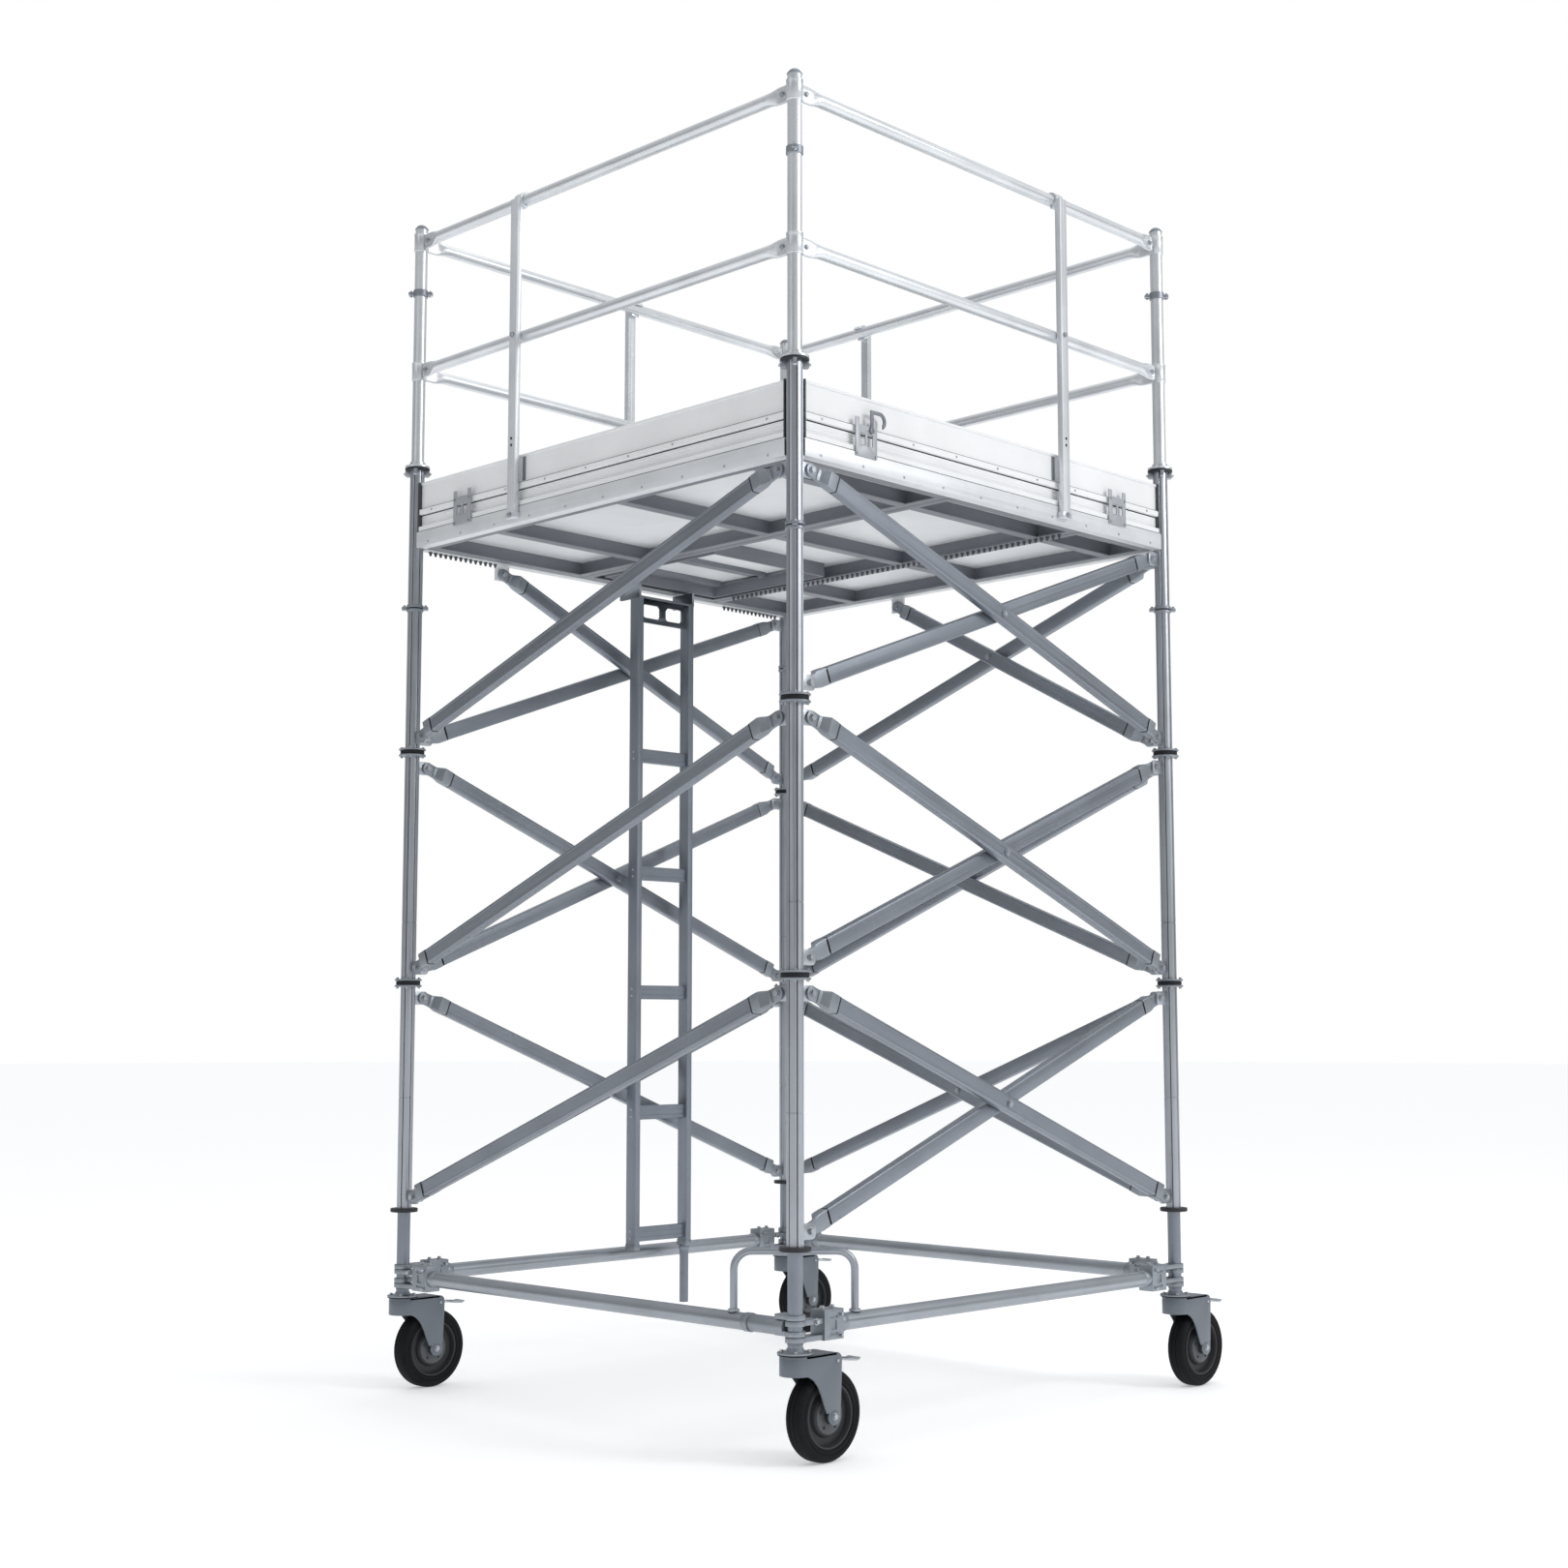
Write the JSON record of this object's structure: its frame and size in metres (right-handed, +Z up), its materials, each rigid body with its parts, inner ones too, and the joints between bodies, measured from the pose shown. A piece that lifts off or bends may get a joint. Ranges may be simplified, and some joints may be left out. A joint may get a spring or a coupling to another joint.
{
  "type": "mobile tower scaffold",
  "caption": "Square aluminium access tower on swivel castors with scissor braces, boarded deck, trapdoor, toe boards, guardrails and an inside ladder.",
  "frame": {"origin": "on the floor, at the centre of the plan outline with the castors trailing to +X; the centre of the four posts is 96 mm to -X of it", "axes": "+Z up, +X along the front face from the front left to the front right post and the way the castors trail, +Y from the front face to the rear face and its ladder"},
  "size_m": [2.087, 1.902, 3.943],
  "materials": {
    "cast_grey": "satin cast metal",
    "lower_aluminium": "mill finish, blue grey",
    "post_aluminium": "mill finish with drawn lines along the tube",
    "brace_aluminium": "mill finish, blue grey",
    "ledger_aluminium": "satin tube",
    "rail_aluminium": "bright satin tube",
    "beam_aluminium": "bright satin extrusion",
    "plain_steel": "zinc plated",
    "dark_steel": "black zinc",
    "cap_grey": "moulded grey",
    "deck_white": "white coated sheet",
    "toe_white": "white coated extrusion",
    "bracket_grey": "satin grey",
    "fork_grey": "blue grey stove enamel",
    "pedal_grey": "zinc plated",
    "tyre_black": "black rubber",
    "rim_dark": "dark grey moulding"
  },
  "bodies": {
    "tower": {"castor_stems": "cast_grey", "base_tubes": "lower_aluminium", "spigots": "plain_steel", "post_caps": "cap_grey", "base_ledgers": "ledger_aluminium", "ledger_couplers": "cast_grey", "brace_pins": "plain_steel", "deck_beams": "beam_aluminium", "deck_panels": "deck_white", "hatch_panel": "deck_white", "toe_board_brackets": "bracket_grey", "stanchions": "rail_aluminium", "ladder_stiles": "lower_aluminium", "ladder_rungs": "lower_aluminium", "ladder_hanger": "lower_aluminium", "corner_hoop": "ledger_aluminium", "trapdoor_hinge_pin": "plain_steel", "braces_front": "brace_aluminium", "toe_board_front": "toe_white", "guardrail_front": "rail_aluminium", "braces_right": "brace_aluminium", "toe_board_right": "toe_white", "guardrail_right": "rail_aluminium", "braces_rear": "brace_aluminium", "toe_board_rear": "toe_white", "guardrail_rear": "rail_aluminium", "braces_left": "brace_aluminium", "toe_board_left": "toe_white", "guardrail_left": "rail_aluminium", "standard_front_left": "post_aluminium", "guard_post_front_left": "rail_aluminium", "standard_front_right": "post_aluminium", "guard_post_front_right": "rail_aluminium", "standard_rear_right": "post_aluminium", "guard_post_rear_right": "rail_aluminium", "standard_rear_left": "post_aluminium", "guard_post_rear_left": "rail_aluminium"},
    "castor_front_left": {"castor_fork_front_left": "fork_grey", "axle_front_left": "plain_steel"},
    "wheel_front_left": {"tyre_front_left": "tyre_black", "rim_front_left": "rim_dark"},
    "pedal_front_left": {"brake_pedal_front_left": "pedal_grey"},
    "castor_front_right": {"castor_fork_front_right": "fork_grey", "axle_front_right": "plain_steel"},
    "wheel_front_right": {"tyre_front_right": "tyre_black", "rim_front_right": "rim_dark"},
    "pedal_front_right": {"brake_pedal_front_right": "pedal_grey"},
    "castor_rear_right": {"castor_fork_rear_right": "fork_grey", "axle_rear_right": "plain_steel"},
    "wheel_rear_right": {"tyre_rear_right": "tyre_black", "rim_rear_right": "rim_dark"},
    "pedal_rear_right": {"brake_pedal_rear_right": "pedal_grey"},
    "castor_rear_left": {"castor_fork_rear_left": "fork_grey", "axle_rear_left": "plain_steel"},
    "wheel_rear_left": {"tyre_rear_left": "tyre_black", "rim_rear_left": "rim_dark"},
    "pedal_rear_left": {"brake_pedal_rear_left": "pedal_grey"},
    "trapdoor": {"trapdoor": "deck_white"},
    "trapdoor_catch": {"trapdoor_catch": "dark_steel"},
    "toe_latch": {"toe_latch": "bracket_grey"}
  },
  "joints": [
    {"name": "castor_swivel_front_left", "type": "hinge", "parent": "tower", "child": "castor_front_left", "pos_m": [-0.996, -0.9, 0.29], "axis": [0, 0, 1], "continuous": true},
    {"name": "wheel_roll_front_left", "type": "hinge", "parent": "castor_front_left", "child": "wheel_front_left", "pos_m": [-0.886, -0.9, 0.127], "axis": [0, 1, 0], "continuous": true},
    {"name": "brake_pedal_front_left", "type": "hinge", "parent": "castor_front_left", "child": "pedal_front_left", "pos_m": [-0.874, -0.9, 0.276], "axis": [0, 1, 0], "range_deg": [0, 10]},
    {"name": "castor_swivel_front_right", "type": "hinge", "parent": "tower", "child": "castor_front_right", "pos_m": [0.804, -0.9, 0.29], "axis": [0, 0, 1], "continuous": true},
    {"name": "wheel_roll_front_right", "type": "hinge", "parent": "castor_front_right", "child": "wheel_front_right", "pos_m": [0.914, -0.9, 0.127], "axis": [0, 1, 0], "continuous": true},
    {"name": "brake_pedal_front_right", "type": "hinge", "parent": "castor_front_right", "child": "pedal_front_right", "pos_m": [0.926, -0.9, 0.276], "axis": [0, 1, 0], "range_deg": [0, 10]},
    {"name": "castor_swivel_rear_right", "type": "hinge", "parent": "tower", "child": "castor_rear_right", "pos_m": [0.804, 0.9, 0.29], "axis": [0, 0, 1], "continuous": true},
    {"name": "wheel_roll_rear_right", "type": "hinge", "parent": "castor_rear_right", "child": "wheel_rear_right", "pos_m": [0.914, 0.9, 0.127], "axis": [0, 1, 0], "continuous": true},
    {"name": "brake_pedal_rear_right", "type": "hinge", "parent": "castor_rear_right", "child": "pedal_rear_right", "pos_m": [0.926, 0.9, 0.276], "axis": [0, 1, 0], "range_deg": [0, 10]},
    {"name": "castor_swivel_rear_left", "type": "hinge", "parent": "tower", "child": "castor_rear_left", "pos_m": [-0.996, 0.9, 0.29], "axis": [0, 0, 1], "continuous": true},
    {"name": "wheel_roll_rear_left", "type": "hinge", "parent": "castor_rear_left", "child": "wheel_rear_left", "pos_m": [-0.886, 0.9, 0.127], "axis": [0, 1, 0], "continuous": true},
    {"name": "brake_pedal_rear_left", "type": "hinge", "parent": "castor_rear_left", "child": "pedal_rear_left", "pos_m": [-0.874, 0.9, 0.276], "axis": [0, 1, 0], "range_deg": [0, 10]},
    {"name": "trapdoor_hinge", "type": "hinge", "parent": "tower", "child": "trapdoor", "pos_m": [-0.217, 0.52, 2.867], "axis": [0, -1, 0], "range_deg": [0, 95]},
    {"name": "trapdoor_catch_turn", "type": "hinge", "parent": "trapdoor", "child": "trapdoor_catch", "pos_m": [0.255, 0.52, 2.84], "axis": [0, 0, -1], "range_deg": [0, 90]},
    {"name": "toe_latch_turn", "type": "hinge", "parent": "tower", "child": "toe_latch", "pos_m": [-0.696, -0.9186, 2.923], "axis": [0, 1, 0], "range_deg": [0, 90]}
  ]
}
